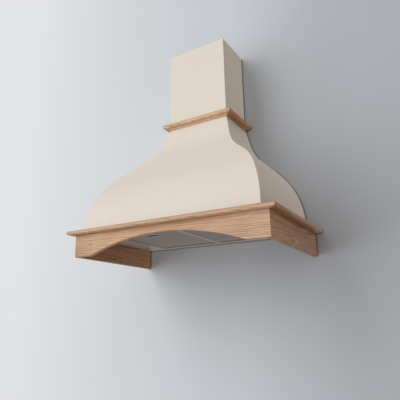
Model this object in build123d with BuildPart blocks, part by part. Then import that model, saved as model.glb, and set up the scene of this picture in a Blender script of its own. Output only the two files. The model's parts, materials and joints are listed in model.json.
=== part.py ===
# Wall-hung wooden range hood cover: an arched oak base, a bell-shaped painted canopy and a flue,
# round a steel insert with two grease filters, lamps, push buttons and a blower.
# Millimetres. +Z is up, +X to the right, -Y to the front. The origin is on the wall plane, midway
# between the two hanging holes. Heights below are counted from the cover's bottom edge.
from build123d import *
from math import cos, radians, sin, tan
import os

os.makedirs("parts", exist_ok=True)

# Whole cover
moulding_width = 900.0        # over the base moulding's two noses
canopy_height = 505.0
flue_height = 388.0           # fixed flue over the canopy
seat_gap = 0.3                # air between pieces that move past each other
cut_margin = 1.0              # how far a cutting shape passes the faces it cuts

# Arched base of solid oak
apron_height = 92.0
board_thickness = 18.7
apron_depth = 512.7           # wall to the apron's front face
arch_chord = 672.0
arch_rise = 63.0
rear_corner_radius = 6.0      # side panels, at the foot of the wall edge
corner_block = 24.0
corner_block_height = 54.0
corner_block_standoff = 16.0

# Base moulding
nose_overhang = 28.9          # nose beyond the apron's face
moulding_thickness = 15.0
moulding_board_width = 75.0
moulding_tongue = 2.0         # moulding's inner part, which the liner lies under, below the apron's top

# Canopy of bent painted panels; each ogee is plinth, crown arc, straight run, neck arc, straight top
panel_thickness = 6.0
front_ledge = 45.6            # base moulding's nose beyond the canopy's foot
front_plinth = 17.0
front_crown_radius = 273.0
front_lean = 42.7             # degrees from upright at the end of the crown
front_neck_radius = 286.0
front_neck_lean = 17.2
front_top_straight = 38.4     # height of the straight stretch under the collar
side_ledge = 63.0
side_plinth = 26.0
side_crown_radius = 335.0
side_lean = 48.4
side_run = 40.0
side_neck_radius = 268.0
side_neck_lean = 15.3

# Formers inside the canopy
rib_thickness = 12.0
rib_width = 28.0
front_rib_spacing = 250.0     # between the two front ribs' middles
side_rib_gap = 21.6           # front rib's inner edge at the neck to the middle of the side ribs
back_frame_thickness = 18.0
back_frame_width = 60.0
neck_frame_thickness = 20.0
neck_side_ledge = 28.0        # flue's inside to the neck hole's edge
neck_front_ledge = 7.0
neck_back_gap = 2.0           # hanging plates' face to the neck hole's edge
hanging_drop = 32.0           # neck frame to the hanging holes
hanging_inset = 34.17         # canopy's top edge to a hanging hole, which leaves 220 between the two
fixing_inset = 47.0           # canopy's foot to a lower fixing hole
fixing_hole_radius = 4.25
hanging_plate_width = 46.0
hanging_plate_height = 40.0
hanging_plate_thickness = 3.0

# Collar moulding
collar_thickness = 20.0
collar_seat = 4.0             # nose's underside over the canopy's top edge
collar_overhang = 32.0
cove_height = 8.0
cove_lip = 2.0

# Flue and its sliding extension
flue_side_step = 2.5          # canopy's top edge beyond the flue's side
flue_front_step = 4.6
flue_panel = 8.0
stile_width = 30.0
stile_depth = 20.0
extension_panel = 6.0
extension_length = 340.0
extension_below_top = 1.0
stop_thickness = 12.0
stop_length = 60.0
stop_height = 15.0

# Steel liner tray
sheet = 1.2
tray_clearance = 0.5
side_strip = 102.4            # side panel's inside to the filter opening
strip_gap = 26.6              # front moulding board to the middle line of lamps and buttons
strip_width = 53.0            # that middle line to the filter opening
opening_back = 31.0           # wall to the filter opening
lip_height = 23.0             # turned-up lip round the opening, over the tray's underside
divider_width = 14.0
divider_wall = 1.5

# Grease filters
filter_recess = 2.0           # filter face above the tray's underside
filter_thickness = 9.0
filter_side_gap = 1.0
filter_bar = 12.0
filter_edge_flat = 0.02       # left between the two roundings of a filter's rear edge
mesh_inset = 1.0
mesh_thickness = 3.0
pivot_radius = 2.5
pivot_clearance = 0.05
pivot_tip = 0.4               # pin's end beyond the wall that it turns in
latch_setback = 52.0          # filter's front edge to the middle of the finger pocket
latch_housing_width = 70.0
latch_housing_back = 18.0     # housing behind the middle of the finger pocket
pocket_width = 51.0
pocket_depth = 18.0
pocket_height = 6.5
latch_lip = 4.0
tongue_width = 20.0
tongue_thickness = 2.0

# Plenum over the filters
plenum_gap = 0.8
plenum_flange = 10.0
plenum_wall_height = 100.0
plenum_height = 241.2
plenum_top_width = 300.0
plenum_top_depth = 250.0

# Blower
scroll_back_gap = 5.0         # scroll's back in front of the filter opening's rear edge
scroll_floor_gap = 24.0       # scroll's lowest point over the tray
scroll_radius = 84.0          # first quarter arc
scroll_step = 16.0            # growth from one quarter arc to the next
scroll_width = 132.0
scroll_wall = 1.5
inlet_radius = 58.0
inlet_ring_wall = 1.5
inlet_ring_flange = 8.0
inlet_ring_depth = 6.0
impeller_radius = 70.0
impeller_width = 116.0
blade_length = 12.0
blade_thickness = 1.2
blade_pitch_angle = 35.0
blade_count = 36
impeller_ring_height = 2.0
hub_radius = 11.0
hub_length = 14.0
shaft_radius = 4.0
shaft_length = 56.0
shaft_clearance = 0.05
motor_radius = 42.0
motor_length = 60.0
motor_inset = 9.0             # motor's outer end beyond the scroll's side
bracket_thickness = 2.0
bracket_disc_radius = 21.0
bracket_arm = 14.0
bracket_foot = 8.0

# Duct spigot and its non-return flaps
spigot_radius = 75.0
spigot_wall = 1.5
spigot_length = 55.0
transition_height = 44.0
spigot_flange = 8.0
flap_height = 26.0            # flap pin over the foot of the round spigot
flap_pin_radius = 2.5
flap_clearance = 2.0
flap_thickness = 1.2
knuckle_radius = 4.0
knuckle_length = 22.0
knuckle_pitch = 32.0
seat_width = 4.0
seat_thickness = 1.5

# Lamps, push buttons, wiring box and cable gland in and over the tray
lamp_inset = 70.0             # filter opening's side to the middle of a lamp
lamp_bezel_radius = 31.0
lamp_bezel_height = 1.6
lamp_can_radius = 26.0
lamp_can_height = 22.0
lamp_recess = 11.0
lens_radius = 23.0
lens_thickness = 3.0
panel_length = 126.0
panel_depth = 30.0
panel_height = 2.0
switch_length = 118.0
switch_depth = 20.0
switch_height = 20.0
button_count = 5
button_pitch = 22.0
button_radius = 6.0
button_height = 9.0
button_proud = 2.2
button_travel = 2.0
button_clearance = 0.25
wiring_box_gap = 16.0         # switch block to the wiring box
wiring_box_lamp_gap = 9.0
wiring_box_depth = 40.0
wiring_box_height = 36.0
gland_gap = 7.0               # spigot's flange to the gland's nut
gland_setback = 60.0
gland_radius = 8.0
gland_nut = 11.0
gland_nut_height = 4.5
gland_height = 18.0
cable_radius = 4.0

# Fasteners
screw_radius = 1.75
screw_clearance = 0.05
screw_head_radius = 4.0
screw_head_height = 1.8
screw_length = 12.0
tray_screw_offset = 150.0     # middle to an inner tray screw
tray_screw_outset = 30.0      # filter opening to an outer tray screw

# Worked out from the sizes above
half_apron = moulding_width / 2 - nose_overhang
half_inside = half_apron - board_thickness
inside_front = apron_depth - board_thickness
moulding_depth = apron_depth + nose_overhang
half_board_inside = moulding_width / 2 - moulding_board_width
board_inside_front = moulding_depth - moulding_board_width
canopy_base = apron_height + moulding_thickness
canopy_top = canopy_base + canopy_height
flue_top = canopy_top + flue_height
side_foot = moulding_width / 2 - side_ledge
front_foot = moulding_depth - front_ledge
tray_bottom = apron_height - moulding_tongue - sheet
tray_top = tray_bottom + sheet
half_opening = half_inside - side_strip
front_strip = board_inside_front - strip_gap
opening_front = front_strip - strip_width
neck_frame_bottom = canopy_top - neck_frame_thickness
hang_height = neck_frame_bottom - hanging_drop
fixing_height = canopy_base + back_frame_width / 2
MIRRORED = (("left", -1), ("right", 1))


def level(height):
    """Height over the bottom edge, as a Z in the part's frame."""
    return height - hang_height


def slab(x, y, z, mode=Mode.ADD):
    """Block between two values on each axis; z is counted from the bottom edge."""
    with BuildSketch(Plane(((x[0] + x[1]) / 2, (y[0] + y[1]) / 2, level(z[0])))) as section:
        Rectangle(x[1] - x[0], y[1] - y[0])
    extrude(section.sketch, amount=z[1] - z[0], mode=mode)


def upright(x, y, z, radius, mode=Mode.ADD):
    """Round bar or hole along Z."""
    with BuildSketch(Plane((x, y, level(z[0])))) as section:
        Circle(radius)
    extrude(section.sketch, amount=z[1] - z[0], mode=mode)


def crossbar(x, y, z, radius, mode=Mode.ADD):
    """Round bar or hole along X."""
    with BuildSketch(Plane(origin=(x[0], y, level(z)), x_dir=(0, 1, 0), z_dir=(1, 0, 0))) as section:
        Circle(radius)
    extrude(section.sketch, amount=x[1] - x[0], mode=mode)


def wallbar(x, y, z, radius, mode=Mode.ADD):
    """Round bar or hole along Y."""
    with BuildSketch(Plane(origin=(x, y[0], level(z)), x_dir=(1, 0, 0), z_dir=(0, 1, 0))) as section:
        Circle(radius)
    extrude(section.sketch, amount=y[1] - y[0], mode=mode)


def save(built, name):
    """Label one finished piece and write its STEP file."""
    built.part.label = name
    export_step(built.part, f"parts/{name}.step")


# ---------------------------------------------------------------------------------------------
# Ogee outlines of the canopy
# ---------------------------------------------------------------------------------------------
front_run = (canopy_height - front_plinth - front_top_straight
             - front_crown_radius * sin(radians(front_lean))
             - front_neck_radius * (sin(radians(front_lean)) - sin(radians(front_neck_lean)))
             ) / cos(radians(front_lean))
front_ogee = (front_foot, front_plinth, front_crown_radius, front_lean,
              front_run, front_neck_radius, front_neck_lean)
side_ogee = (side_foot, side_plinth, side_crown_radius, side_lean,
             side_run, side_neck_radius, side_neck_lean)


def ogee_points(ogee, inset, top=canopy_top):
    """Reach and height of the outline's joints and arc middles, set in by inset along its normal."""
    foot, plinth, crown, lean, run, neck, neck_lean = ogee
    lean = radians(lean)
    neck_lean = radians(neck_lean)
    crown_middle = (foot - crown, canopy_base + plinth)

    def on_crown(angle):
        reach = crown - inset
        return crown_middle[0] + reach * cos(angle), crown_middle[1] + reach * sin(angle)

    run_end = (crown_middle[0] + crown * cos(lean) - run * sin(lean),
               crown_middle[1] + crown * sin(lean) + run * cos(lean))
    neck_middle = (run_end[0] + neck * cos(lean), run_end[1] + neck * sin(lean))

    def on_neck(angle):
        reach = neck + inset
        return neck_middle[0] - reach * cos(angle), neck_middle[1] - reach * sin(angle)

    neck_end = on_neck(neck_lean)
    peak = (neck_end[0] - (top - neck_end[1]) * tan(neck_lean), top)
    return [(foot - inset, canopy_base), on_crown(0), on_crown(lean / 2), on_crown(lean),
            on_neck(lean), on_neck((lean + neck_lean) / 2), neck_end, peak]


def ogee_curve(points, side):
    """The outline as lines and tangent arcs, in the open sketch."""
    foot, crown_start, crown_mid, crown_end, neck_start, neck_mid, neck_end, peak = [
        (side * reach, level(height)) for reach, height in points]
    Line(foot, crown_start)
    ThreePointArc(crown_start, crown_mid, crown_end)
    Line(crown_end, neck_start)
    ThreePointArc(neck_start, neck_mid, neck_end)
    Line(neck_end, peak)
    return foot, peak


def front_space(inset, mode=Mode.ADD, top=canopy_top):
    """Everything behind the front outline, across the whole width."""
    with BuildSketch(Plane.YZ) as section:
        with BuildLine():
            foot, peak = ogee_curve(ogee_points(front_ogee, inset, top), -1)
            Polyline(peak, (0, peak[1]), (0, foot[1]), foot)
        make_face()
    extrude(section.sketch, amount=moulding_width, both=True, mode=mode)


def side_space(inset, mode=Mode.ADD, depth=moulding_depth, top=canopy_top):
    """Everything between the two side outlines, from the wall to depth."""
    with BuildSketch(Plane.XZ) as section:
        with BuildLine():
            foot, peak = ogee_curve(ogee_points(side_ogee, inset, top), 1)
            left_foot, left_peak = ogee_curve(ogee_points(side_ogee, inset, top), -1)
            Line(foot, left_foot)
            Line(peak, left_peak)
        make_face()
    extrude(section.sketch, amount=depth, mode=mode)


neck_half_width = ogee_points(side_ogee, 0)[-1][0]
neck_depth = ogee_points(front_ogee, 0)[-1][0]
flue_half = neck_half_width - flue_side_step
flue_depth = neck_depth - flue_front_step
flue_inner_half = flue_half - flue_panel
flue_inner_depth = flue_depth - flue_panel
side_rib_setback = neck_depth - panel_thickness - rib_width - side_rib_gap
hanging_half = neck_half_width - hanging_inset
fixing_half = side_foot - fixing_inset

# ---------------------------------------------------------------------------------------------
# Arched apron and side panels, mitred at the front corners, with glue blocks behind the joints
# ---------------------------------------------------------------------------------------------
with BuildPart() as front_apron:
    with BuildSketch(Plane.XY.offset(level(0))):
        Polygon((-half_apron, -apron_depth), (half_apron, -apron_depth),
                (half_inside, -inside_front), (-half_inside, -inside_front), align=None)
    extrude(amount=apron_height)
    with BuildSketch(Plane.XZ.offset(inside_front - cut_margin)):
        with BuildLine():
            ThreePointArc((-arch_chord / 2, level(0)), (0, level(arch_rise)), (arch_chord / 2, level(0)))
            Line((-arch_chord / 2, level(0)), (arch_chord / 2, level(0)))
        make_face()
    extrude(amount=board_thickness + 2 * cut_margin, mode=Mode.SUBTRACT)
save(front_apron, "front_apron")

with BuildPart() as right_side_panel:
    with BuildSketch(Plane.XY.offset(level(0))):
        Polygon((half_apron, 0), (half_apron, -apron_depth),
                (half_inside, -inside_front), (half_inside, 0), align=None)
    extrude(amount=apron_height)
    foot = right_side_panel.edges().filter_by(Axis.X).group_by(Axis.Z)[0]
    fillet(foot.sort_by(Axis.Y)[-1], radius=rear_corner_radius)
save(right_side_panel, "right_side_panel")
with BuildPart() as left_side_panel:
    mirror(right_side_panel.part, about=Plane.YZ)
save(left_side_panel, "left_side_panel")

with BuildPart() as corner_blocks:
    for name, side in MIRRORED:
        with BuildSketch(Plane.XY.offset(level(corner_block_standoff))):
            Polygon((side * half_inside, -inside_front),
                    (side * (half_inside - corner_block), -inside_front),
                    (side * half_inside, -inside_front + corner_block), align=None)
        extrude(amount=corner_block_height)
save(corner_blocks, "corner_blocks")


# ---------------------------------------------------------------------------------------------
# Base moulding: a bull-nosed board on top of the apron; its thicker inner part carries the liner
# ---------------------------------------------------------------------------------------------
def moulding_outline(plane, nose, inner, apron_inside, side):
    """Bull-nosed board section between the nose and its inner edge."""
    radius = moulding_thickness / 2
    top = level(canopy_base)
    low = level(apron_height)
    with BuildSketch(plane) as section:
        with BuildLine():
            ThreePointArc((side * (nose - radius), top), (side * nose, top - radius),
                          (side * (nose - radius), low))
            Polyline((side * (nose - radius), low), (side * apron_inside, low),
                     (side * apron_inside, low - moulding_tongue), (side * inner, low - moulding_tongue),
                     (side * inner, top), (side * (nose - radius), top))
        make_face()
    return section.sketch


tray_screw_places = [(side * reach, -(inside_front + board_inside_front) / 2)
                     for side in (-1, 1) for reach in (tray_screw_offset, half_opening + tray_screw_outset)]
with BuildPart() as base_moulding_front:
    extrude(moulding_outline(Plane.YZ, moulding_depth, board_inside_front, inside_front, -1),
            amount=moulding_width / 2, both=True)
    with BuildSketch(Plane.XY.offset(level(tray_top - cut_margin))):
        Polygon((-moulding_width / 2, -moulding_depth), (moulding_width / 2, -moulding_depth),
                (half_board_inside, -board_inside_front),
                (-half_board_inside, -board_inside_front), align=None)
    extrude(amount=canopy_base - tray_top + 2 * cut_margin, mode=Mode.INTERSECT)
    for x, y in tray_screw_places:
        upright(x, y, (tray_top, tray_top + screw_length), screw_radius + screw_clearance, Mode.SUBTRACT)
save(base_moulding_front, "base_moulding_front")

with BuildPart() as base_moulding_right:
    extrude(moulding_outline(Plane.XZ, moulding_width / 2, half_board_inside, half_inside, 1),
            amount=moulding_depth)
    with BuildSketch(Plane.XY.offset(level(tray_top - cut_margin))):
        Polygon((moulding_width / 2, 0), (moulding_width / 2, -moulding_depth),
                (half_board_inside, -board_inside_front), (half_board_inside, 0), align=None)
    extrude(amount=canopy_base - tray_top + 2 * cut_margin, mode=Mode.INTERSECT)
save(base_moulding_right, "base_moulding_right")
with BuildPart() as base_moulding_left:
    mirror(base_moulding_right.part, about=Plane.YZ)
save(base_moulding_left, "base_moulding_left")

# Rail between the side mouldings along the wall
with BuildPart() as base_back_rail:
    slab((-half_board_inside, half_board_inside), (-back_frame_thickness, 0), (tray_top, canopy_base))
save(base_back_rail, "base_back_rail")

# ---------------------------------------------------------------------------------------------
# Canopy: a front panel over the full width and two side panels that butt behind it
# ---------------------------------------------------------------------------------------------
with BuildPart() as canopy_front_panel:
    front_space(0)
    front_space(panel_thickness, Mode.SUBTRACT)
    side_space(0, Mode.INTERSECT)
save(canopy_front_panel, "canopy_front_panel")

with BuildPart() as canopy_sides:
    side_space(0)
    side_space(panel_thickness, Mode.SUBTRACT)
    front_space(panel_thickness, Mode.INTERSECT)
for name, side in MIRRORED:
    with BuildPart() as canopy_side_panel:
        add(canopy_sides.part.solids().sort_by(Axis.X)[0 if side < 0 else -1])
    save(canopy_side_panel, f"canopy_{name}_panel")

# ---------------------------------------------------------------------------------------------
# Formers inside the canopy: two front ribs, two side ribs, a back frame and a neck frame
# ---------------------------------------------------------------------------------------------
with BuildPart() as front_ribs:
    front_space(panel_thickness, top=neck_frame_bottom)
    front_space(panel_thickness + rib_width, Mode.SUBTRACT, neck_frame_bottom)
    half_spread = (front_rib_spacing + rib_thickness) / 2
    slab((-half_spread, half_spread), (-moulding_depth, 0), (canopy_base, neck_frame_bottom), Mode.INTERSECT)
    slab((rib_thickness - half_spread, half_spread - rib_thickness), (-moulding_depth, 0),
         (canopy_base, neck_frame_bottom), Mode.SUBTRACT)
save(front_ribs, "front_ribs")

with BuildPart() as side_ribs:
    side_space(panel_thickness, top=neck_frame_bottom)
    side_space(panel_thickness + rib_width, Mode.SUBTRACT, top=neck_frame_bottom)
    slab((-moulding_width, moulding_width),
         (-side_rib_setback - rib_thickness / 2, -side_rib_setback + rib_thickness / 2),
         (canopy_base, neck_frame_bottom), Mode.INTERSECT)
save(side_ribs, "side_ribs")

hanging_rail_low = hang_height - back_frame_width / 2
with BuildPart() as back_frame_window:
    side_space(panel_thickness + back_frame_width, depth=back_frame_thickness, top=hanging_rail_low)
    slab((-moulding_width, moulding_width), (-back_frame_thickness, 0),
         (canopy_base + back_frame_width, hanging_rail_low), Mode.INTERSECT)
with BuildPart() as back_frame:
    side_space(panel_thickness, depth=back_frame_thickness, top=neck_frame_bottom)
    add(back_frame_window.part, mode=Mode.SUBTRACT)
    for side in (-1, 1):
        wallbar(side * hanging_half, (-back_frame_thickness, 0), hang_height,
                fixing_hole_radius, Mode.SUBTRACT)
        wallbar(side * fixing_half, (-back_frame_thickness, 0), fixing_height,
                fixing_hole_radius, Mode.SUBTRACT)
save(back_frame, "back_frame")

plate_face = -back_frame_thickness - hanging_plate_thickness
with BuildPart() as hanging_plates:
    for side in (-1, 1):
        middle = side * hanging_half
        slab((middle - hanging_plate_width / 2, middle + hanging_plate_width / 2),
             (plate_face, -back_frame_thickness),
             (hang_height - hanging_plate_height / 2, hang_height + hanging_plate_height / 2))
        wallbar(middle, (plate_face, -back_frame_thickness), hang_height, fixing_hole_radius, Mode.SUBTRACT)
save(hanging_plates, "hanging_plates")

with BuildPart() as neck_frame:
    front_space(panel_thickness)
    side_space(panel_thickness, Mode.INTERSECT)
    slab((-moulding_width, moulding_width), (-moulding_depth, 0), (neck_frame_bottom, canopy_top),
         Mode.INTERSECT)
    slab((neck_side_ledge - flue_inner_half, flue_inner_half - neck_side_ledge),
         (neck_front_ledge - flue_inner_depth, plate_face - neck_back_gap),
         (neck_frame_bottom, canopy_top), Mode.SUBTRACT)
save(neck_frame, "neck_frame")


# ---------------------------------------------------------------------------------------------
# Collar moulding round the foot of the flue, with a small cove that covers the canopy's top edge
# ---------------------------------------------------------------------------------------------
def collar_outline(plane, flue_face, ogee, side):
    """Bull-nosed section with a quarter-round cove below; its lip follows the canopy's slope."""
    radius = collar_thickness / 2
    nose = flue_face + collar_overhang
    low = level(canopy_top + collar_seat)
    top = low + collar_thickness
    lip = ogee_points(ogee, 0, canopy_top + collar_seat - cove_height)[-1][0]
    edge = ogee_points(ogee, 0)[-1][0]
    cove_middle = lip + cove_lip + cove_height
    bend = cove_height * cos(radians(45))
    with BuildSketch(plane) as section:
        with BuildLine():
            ThreePointArc((side * (nose - radius), top), (side * nose, top - radius),
                          (side * (nose - radius), low))
            Line((side * (nose - radius), low), (side * cove_middle, low))
            ThreePointArc((side * cove_middle, low), (side * (cove_middle - bend), low - cove_height + bend),
                          (side * (lip + cove_lip), low - cove_height))
            Polyline((side * (lip + cove_lip), low - cove_height), (side * lip, low - cove_height),
                     (side * edge, level(canopy_top)), (side * flue_face, level(canopy_top)),
                     (side * flue_face, top),
                     (side * (nose - radius), top))
        make_face()
    return section.sketch


collar_half = flue_half + collar_overhang
collar_depth = flue_depth + collar_overhang
with BuildPart() as collar_front:
    extrude(collar_outline(Plane.YZ, flue_depth, front_ogee, -1), amount=collar_half, both=True)
    with BuildSketch(Plane.XY.offset(level(canopy_top - collar_thickness))):
        Polygon((-collar_half, -collar_depth), (collar_half, -collar_depth),
                (flue_half, -flue_depth), (-flue_half, -flue_depth), align=None)
    extrude(amount=2 * collar_thickness, mode=Mode.INTERSECT)
save(collar_front, "collar_front")

with BuildPart() as collar_right:
    extrude(collar_outline(Plane.XZ, flue_half, side_ogee, 1), amount=collar_depth)
    with BuildSketch(Plane.XY.offset(level(canopy_top - collar_thickness))):
        Polygon((collar_half, 0), (collar_half, -collar_depth),
                (flue_half, -flue_depth), (flue_half, 0), align=None)
    extrude(amount=2 * collar_thickness, mode=Mode.INTERSECT)
save(collar_right, "collar_right")
with BuildPart() as collar_left:
    mirror(collar_right.part, about=Plane.YZ)
save(collar_left, "collar_left")

# ---------------------------------------------------------------------------------------------
# Flue: three painted panels on two stiles, and an extension that slides up out of it
# ---------------------------------------------------------------------------------------------
with BuildPart() as flue_front_panel:
    slab((-flue_half, flue_half), (-flue_depth, -flue_inner_depth), (canopy_top, flue_top))
save(flue_front_panel, "flue_front_panel")
with BuildPart() as flue_right_panel:
    slab((flue_inner_half, flue_half), (-flue_inner_depth, 0), (canopy_top, flue_top))
save(flue_right_panel, "flue_right_panel")
with BuildPart() as flue_left_panel:
    mirror(flue_right_panel.part, about=Plane.YZ)
save(flue_left_panel, "flue_left_panel")
with BuildPart() as flue_stiles:
    slab((flue_inner_half - stile_width, flue_inner_half), (-stile_depth, 0), (canopy_top, flue_top))
    mirror(about=Plane.YZ)
save(flue_stiles, "flue_stiles")

extension_half = flue_inner_half - seat_gap
extension_depth = flue_inner_depth - seat_gap
extension_top = flue_top - extension_below_top
extension_low = extension_top - extension_length
with BuildPart() as extension_front_panel:
    slab((-extension_half, extension_half), (-extension_depth, -extension_depth + extension_panel),
         (extension_low, extension_top))
save(extension_front_panel, "extension_front_panel")
with BuildPart() as extension_right_panel:
    slab((extension_half - extension_panel, extension_half),
         (-extension_depth + extension_panel, -stile_depth - seat_gap), (extension_low, extension_top))
save(extension_right_panel, "extension_right_panel")
with BuildPart() as extension_left_panel:
    mirror(extension_right_panel.part, about=Plane.YZ)
save(extension_left_panel, "extension_left_panel")

stop_top = extension_low - seat_gap
with BuildPart() as extension_stops:
    slab((flue_inner_half - stop_thickness, flue_inner_half),
         (-flue_inner_depth / 2 - stop_length / 2, -flue_inner_depth / 2 + stop_length / 2),
         (stop_top - stop_height, stop_top))
    mirror(about=Plane.YZ)
save(extension_stops, "extension_stops")

# ---------------------------------------------------------------------------------------------
# Steel liner tray under the canopy, with a turned-up lip round the filter opening
# ---------------------------------------------------------------------------------------------
filter_near = divider_width / 2 + filter_side_gap
filter_far = half_opening - filter_side_gap
filter_middle = (filter_near + filter_far) / 2
filter_front = opening_front - filter_side_gap
filter_back = opening_back + filter_side_gap
filter_low = tray_bottom + filter_recess
filter_high = filter_low + filter_thickness
pivot_setback = filter_back + filter_thickness / 2
pivot_height = filter_low + filter_thickness / 2
lip_top = tray_bottom + lip_height
pocket_middle = filter_front - latch_setback
pocket_front = pocket_middle + pocket_depth / 2
tongue_low = filter_low + (pocket_height - tongue_thickness) / 2
lamp_places = (lamp_inset - half_opening, half_opening - lamp_inset)
switch_x = (-switch_length / 2, switch_length / 2)
switch_y = (-front_strip - switch_depth / 2, -front_strip + switch_depth / 2)
button_places = [(index - (button_count - 1) / 2) * button_pitch for index in range(button_count)]
with BuildPart() as liner_tray:
    slab((-half_inside + tray_clearance, half_inside - tray_clearance),
         (-inside_front + tray_clearance, -tray_clearance), (tray_bottom, tray_top))
    slab((-half_opening - sheet, half_opening + sheet), (-opening_front - sheet, -opening_back + sheet),
         (tray_bottom, lip_top))
    slab((-half_opening, half_opening), (-opening_front, -opening_back),
         (tray_bottom, lip_top), Mode.SUBTRACT)
    for name, side in MIRRORED:
        crossbar((side * half_opening - 2 * sheet, side * half_opening + 2 * sheet), -pivot_setback,
                 pivot_height, pivot_radius + pivot_clearance, Mode.SUBTRACT)
        middle = side * filter_middle
        slab((middle - tongue_width / 2 - seat_gap, middle + tongue_width / 2 + seat_gap),
             (-opening_front - sheet, -opening_front),
             (tongue_low - seat_gap, tongue_low + tongue_thickness + seat_gap), Mode.SUBTRACT)
    slab(switch_x, switch_y, (tray_bottom, tray_top), Mode.SUBTRACT)
    for x in lamp_places:
        upright(x, -front_strip, (tray_bottom, tray_top), lamp_can_radius + screw_clearance, Mode.SUBTRACT)
    for x, y in tray_screw_places:
        upright(x, y, (tray_bottom, tray_top), screw_radius + screw_clearance, Mode.SUBTRACT)
save(liner_tray, "liner_tray")

with BuildPart() as filter_divider:
    slab((-divider_width / 2, divider_width / 2), (-opening_front, -opening_back), (tray_bottom, lip_top))
    slab((-divider_width / 2 + divider_wall, divider_width / 2 - divider_wall),
         (-opening_front, -opening_back), (tray_top, lip_top), Mode.SUBTRACT)
    crossbar((-divider_width, divider_width), -pivot_setback, pivot_height,
             pivot_radius + pivot_clearance, Mode.SUBTRACT)
save(filter_divider, "filter_divider")

with BuildPart() as tray_screws:
    for x, y in tray_screw_places:
        upright(x, y, (tray_bottom - screw_head_height, tray_bottom), screw_head_radius)
        upright(x, y, (tray_bottom, tray_top + screw_length - screw_head_height), screw_radius)
save(tray_screws, "tray_screws")

# ---------------------------------------------------------------------------------------------
# Grease filters: a framed mesh that swings down on two pins at its rear edge, and a finger latch
# ---------------------------------------------------------------------------------------------
window_near = filter_near + filter_bar
window_far = filter_far - filter_bar
window_front = filter_front - filter_bar
window_back = filter_back + filter_bar
housing_x = (filter_middle - latch_housing_width / 2, filter_middle + latch_housing_width / 2)
housing_y = (-window_front, -pocket_middle + latch_housing_back)
channel_x = (filter_middle - tongue_width / 2 - seat_gap, filter_middle + tongue_width / 2 + seat_gap)
channel_z = (tongue_low - seat_gap, tongue_low + tongue_thickness + seat_gap)
with BuildPart() as filter_frame:
    slab((filter_near, filter_far), (-filter_front, -filter_back), (filter_low, filter_high))
    rear_edges = filter_frame.edges().filter_by(Axis.X).group_by(Axis.Y)[-1]
    fillet(rear_edges, radius=(filter_thickness - filter_edge_flat) / 2)
    slab((window_near, window_far), (-window_front, -window_back), (filter_low, filter_high), Mode.SUBTRACT)
    slab(channel_x, (-filter_front, -window_front), channel_z, Mode.SUBTRACT)
    crossbar((filter_far, half_opening + sheet + pivot_tip), -pivot_setback, pivot_height, pivot_radius)
    crossbar((divider_width / 2 - divider_wall - pivot_tip, filter_near), -pivot_setback,
             pivot_height, pivot_radius)

with BuildPart() as filter_mesh:
    slab((window_near, window_far), (-window_front, -window_back),
         (filter_low + mesh_inset, filter_low + mesh_inset + mesh_thickness))
    slab(housing_x, housing_y, (filter_low, filter_high), Mode.SUBTRACT)

with BuildPart() as latch_housing:
    slab(housing_x, housing_y, (filter_low, filter_high))
    slab((filter_middle - pocket_width / 2, filter_middle + pocket_width / 2),
         (-pocket_front, -pocket_front + pocket_depth), (filter_low, filter_low + pocket_height),
         Mode.SUBTRACT)
    slab(channel_x, (-window_front, -pocket_front), channel_z, Mode.SUBTRACT)

with BuildPart() as filter_latch:
    slab((filter_middle - pocket_width / 2 + seat_gap, filter_middle + pocket_width / 2 - seat_gap),
         (-pocket_front + seat_gap, -pocket_front + seat_gap + latch_lip),
         (filter_low + seat_gap, filter_low + pocket_height - seat_gap))
    slab((filter_middle - tongue_width / 2, filter_middle + tongue_width / 2),
         (-opening_front + seat_gap, -pocket_front + seat_gap), (tongue_low, tongue_low + tongue_thickness))

for piece, name in ((filter_frame, "filter_frame"), (filter_mesh, "filter_mesh"),
                    (latch_housing, "latch_housing"), (filter_latch, "filter_latch")):
    save(piece, f"right_{name}")
    with BuildPart() as left_piece:
        mirror(piece.part, about=Plane.YZ)
    save(left_piece, f"left_{name}")


# ---------------------------------------------------------------------------------------------
# Plenum: a steel box over the filters that narrows to a roof under the duct
# ---------------------------------------------------------------------------------------------
def plenum_space(inset, low, high, mode=Mode.ADD):
    """Straight box with a hipped top, set in by inset from the plenum's outside."""
    half = half_opening + 2 * sheet + plenum_gap - inset
    front = opening_front + 2 * sheet + plenum_gap - inset
    back = opening_back - 2 * sheet - plenum_gap + inset
    shoulder = tray_top + plenum_wall_height
    slab((-half, half), (-front, -back), (low, shoulder), mode)
    with BuildSketch(Plane((0, -(front + back) / 2, level(shoulder)))) as eaves:
        Rectangle(2 * half, front - back)
    with BuildSketch(Plane((0, inset - back - plenum_top_depth / 2, level(high)))) as roof:
        Rectangle(plenum_top_width - 2 * inset, plenum_top_depth - 2 * inset)
    loft([eaves.sketch, roof.sketch], mode=mode)


plenum_top = tray_top + plenum_height
scroll_back = opening_back + scroll_back_gap
gland_offset = scroll_width / 2 + spigot_flange + gland_gap + gland_nut
scroll_y = -scroll_back - scroll_radius - 2.5 * scroll_step
scroll_z = tray_top + scroll_floor_gap + scroll_radius + 1.5 * scroll_step
tongue_y = scroll_y - scroll_step / 2
roof_underside = plenum_top - sheet
flange_half = half_opening + 2 * sheet + plenum_gap + plenum_flange
flange_front = opening_front + 2 * sheet + plenum_gap + plenum_flange
flange_back = opening_back - 2 * sheet - plenum_gap
with BuildPart() as plenum:
    slab((-flange_half, flange_half), (-flange_front, -flange_back), (tray_top, tray_top + sheet))
    plenum_space(0, tray_top, plenum_top)
    plenum_space(sheet, tray_top, roof_underside, Mode.SUBTRACT)
    slab((-scroll_width / 2 + scroll_wall, scroll_width / 2 - scroll_wall),
         (tongue_y + scroll_wall, -scroll_back - scroll_wall), (roof_underside, plenum_top), Mode.SUBTRACT)
    upright(gland_offset, -gland_setback, (roof_underside, plenum_top), gland_radius, Mode.SUBTRACT)
save(plenum, "plenum")


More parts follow.
